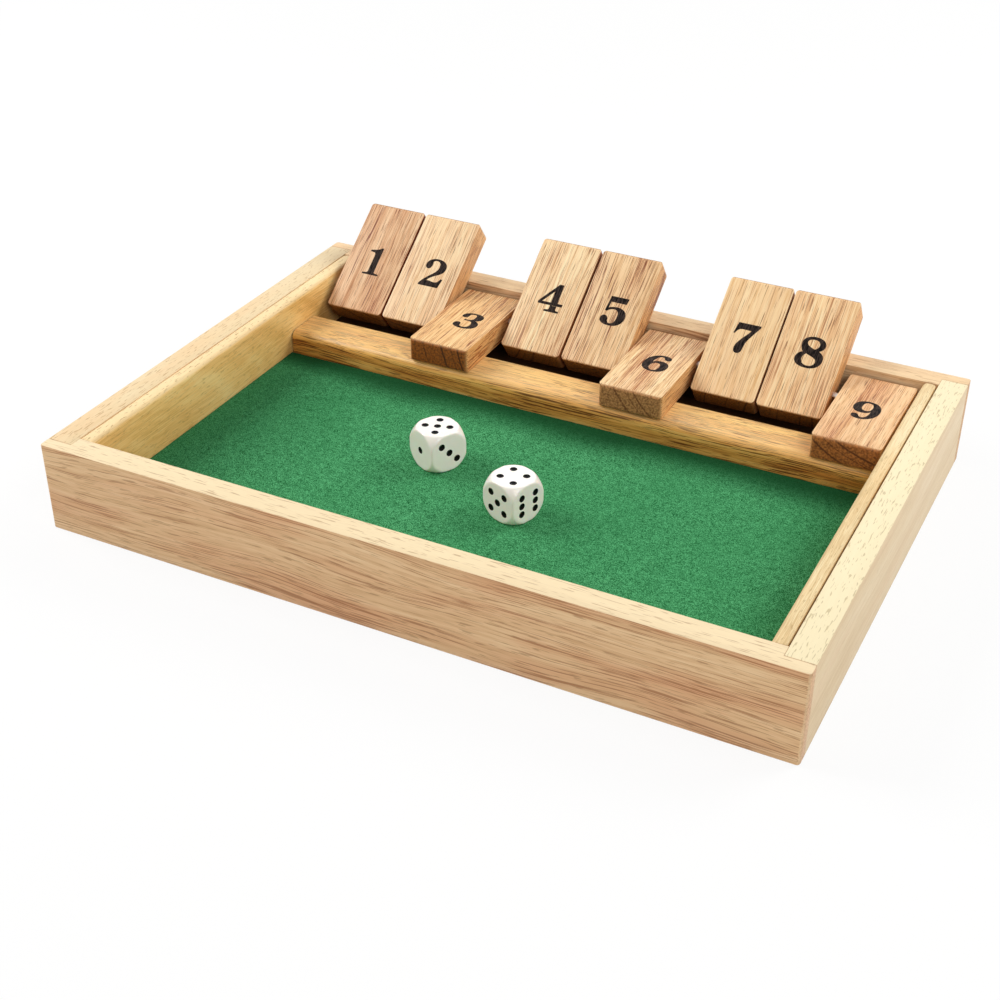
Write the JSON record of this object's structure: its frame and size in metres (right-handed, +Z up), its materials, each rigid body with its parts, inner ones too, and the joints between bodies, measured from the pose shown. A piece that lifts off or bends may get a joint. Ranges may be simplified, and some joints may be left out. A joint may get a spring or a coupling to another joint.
{
  "type": "shut the box game",
  "caption": "Open wooden tray lined with felt, with numbered tiles that flip on a steel rod, a stop bar and two dice.",
  "frame": {"origin": "on the table, under the middle of the whole object's footprint, leaning tiles included", "axes": "+X to the right along the rod, +Y from the front rail to the back rail, +Z up"},
  "size_m": [0.292, 0.214, 0.058],
  "materials": {
    "case_wood": "pale rubberwood, sanded, satin clear lacquer",
    "liner_wood": "pale rubberwood, satin clear lacquer",
    "base_wood": "tempered hardboard, dark brown",
    "bar_wood": "honey-brown rubberwood, satin clear lacquer",
    "tile_wood": "tan hardwood with dark pores, satin",
    "felt": "green wool felt",
    "steel": "bright drawn steel",
    "die": "ivory-white acrylic with black pips",
    "ink": "black pad-printed ink, satin"
  },
  "bodies": {
    "case": {"front_rail": "case_wood", "back_rail": "case_wood", "left_side": "case_wood", "right_side": "case_wood", "left_liner": "liner_wood", "right_liner": "liner_wood", "base_panel": "base_wood", "felt": "felt", "stop_bar": "bar_wood", "pivot_rod": "steel"},
    "tile_1": {"tile_1": "tile_wood"},
    "tile_2": {"tile_2": "tile_wood"},
    "tile_3": {"tile_3": "tile_wood"},
    "tile_4": {"tile_4": "tile_wood"},
    "tile_5": {"tile_5": "tile_wood"},
    "tile_6": {"tile_6": "tile_wood"},
    "tile_7": {"tile_7": "tile_wood"},
    "tile_8": {"tile_8": "tile_wood"},
    "tile_9": {"tile_9": "tile_wood"},
    "die_1": {"die_1": "die"},
    "die_2": {"die_2": "die"}
  },
  "joints": [
    {"name": "tile_1_hinge", "type": "hinge", "parent": "case", "child": "tile_1", "pos_m": [0, 0.07303, 0.0295], "axis": [1, 0, 0], "range_deg": [0, 143.2]},
    {"name": "tile_2_hinge", "type": "hinge", "parent": "case", "child": "tile_2", "pos_m": [0, 0.07303, 0.0295], "axis": [1, 0, 0], "range_deg": [0, 143.2]},
    {"name": "tile_3_hinge", "type": "hinge", "parent": "case", "child": "tile_3", "pos_m": [0, 0.07303, 0.0295], "axis": [1, 0, 0], "range_deg": [-143.2, 0]},
    {"name": "tile_4_hinge", "type": "hinge", "parent": "case", "child": "tile_4", "pos_m": [0, 0.07303, 0.0295], "axis": [1, 0, 0], "range_deg": [0, 143.2]},
    {"name": "tile_5_hinge", "type": "hinge", "parent": "case", "child": "tile_5", "pos_m": [0, 0.07303, 0.0295], "axis": [1, 0, 0], "range_deg": [0, 143.2]},
    {"name": "tile_6_hinge", "type": "hinge", "parent": "case", "child": "tile_6", "pos_m": [0, 0.07303, 0.0295], "axis": [1, 0, 0], "range_deg": [-143.2, 0]},
    {"name": "tile_7_hinge", "type": "hinge", "parent": "case", "child": "tile_7", "pos_m": [0, 0.07303, 0.0295], "axis": [1, 0, 0], "range_deg": [0, 143.2]},
    {"name": "tile_8_hinge", "type": "hinge", "parent": "case", "child": "tile_8", "pos_m": [0, 0.07303, 0.0295], "axis": [1, 0, 0], "range_deg": [0, 143.2]},
    {"name": "tile_9_hinge", "type": "hinge", "parent": "case", "child": "tile_9", "pos_m": [0, 0.07303, 0.0295], "axis": [1, 0, 0], "range_deg": [-143.2, 0]},
    {"name": "die_1_lift", "type": "slide", "parent": "case", "child": "die_1", "axis": [0, 0, 1], "range_m": [0, 0.06]},
    {"name": "die_2_lift", "type": "slide", "parent": "case", "child": "die_2", "axis": [0, 0, 1], "range_m": [0, 0.06]}
  ]
}
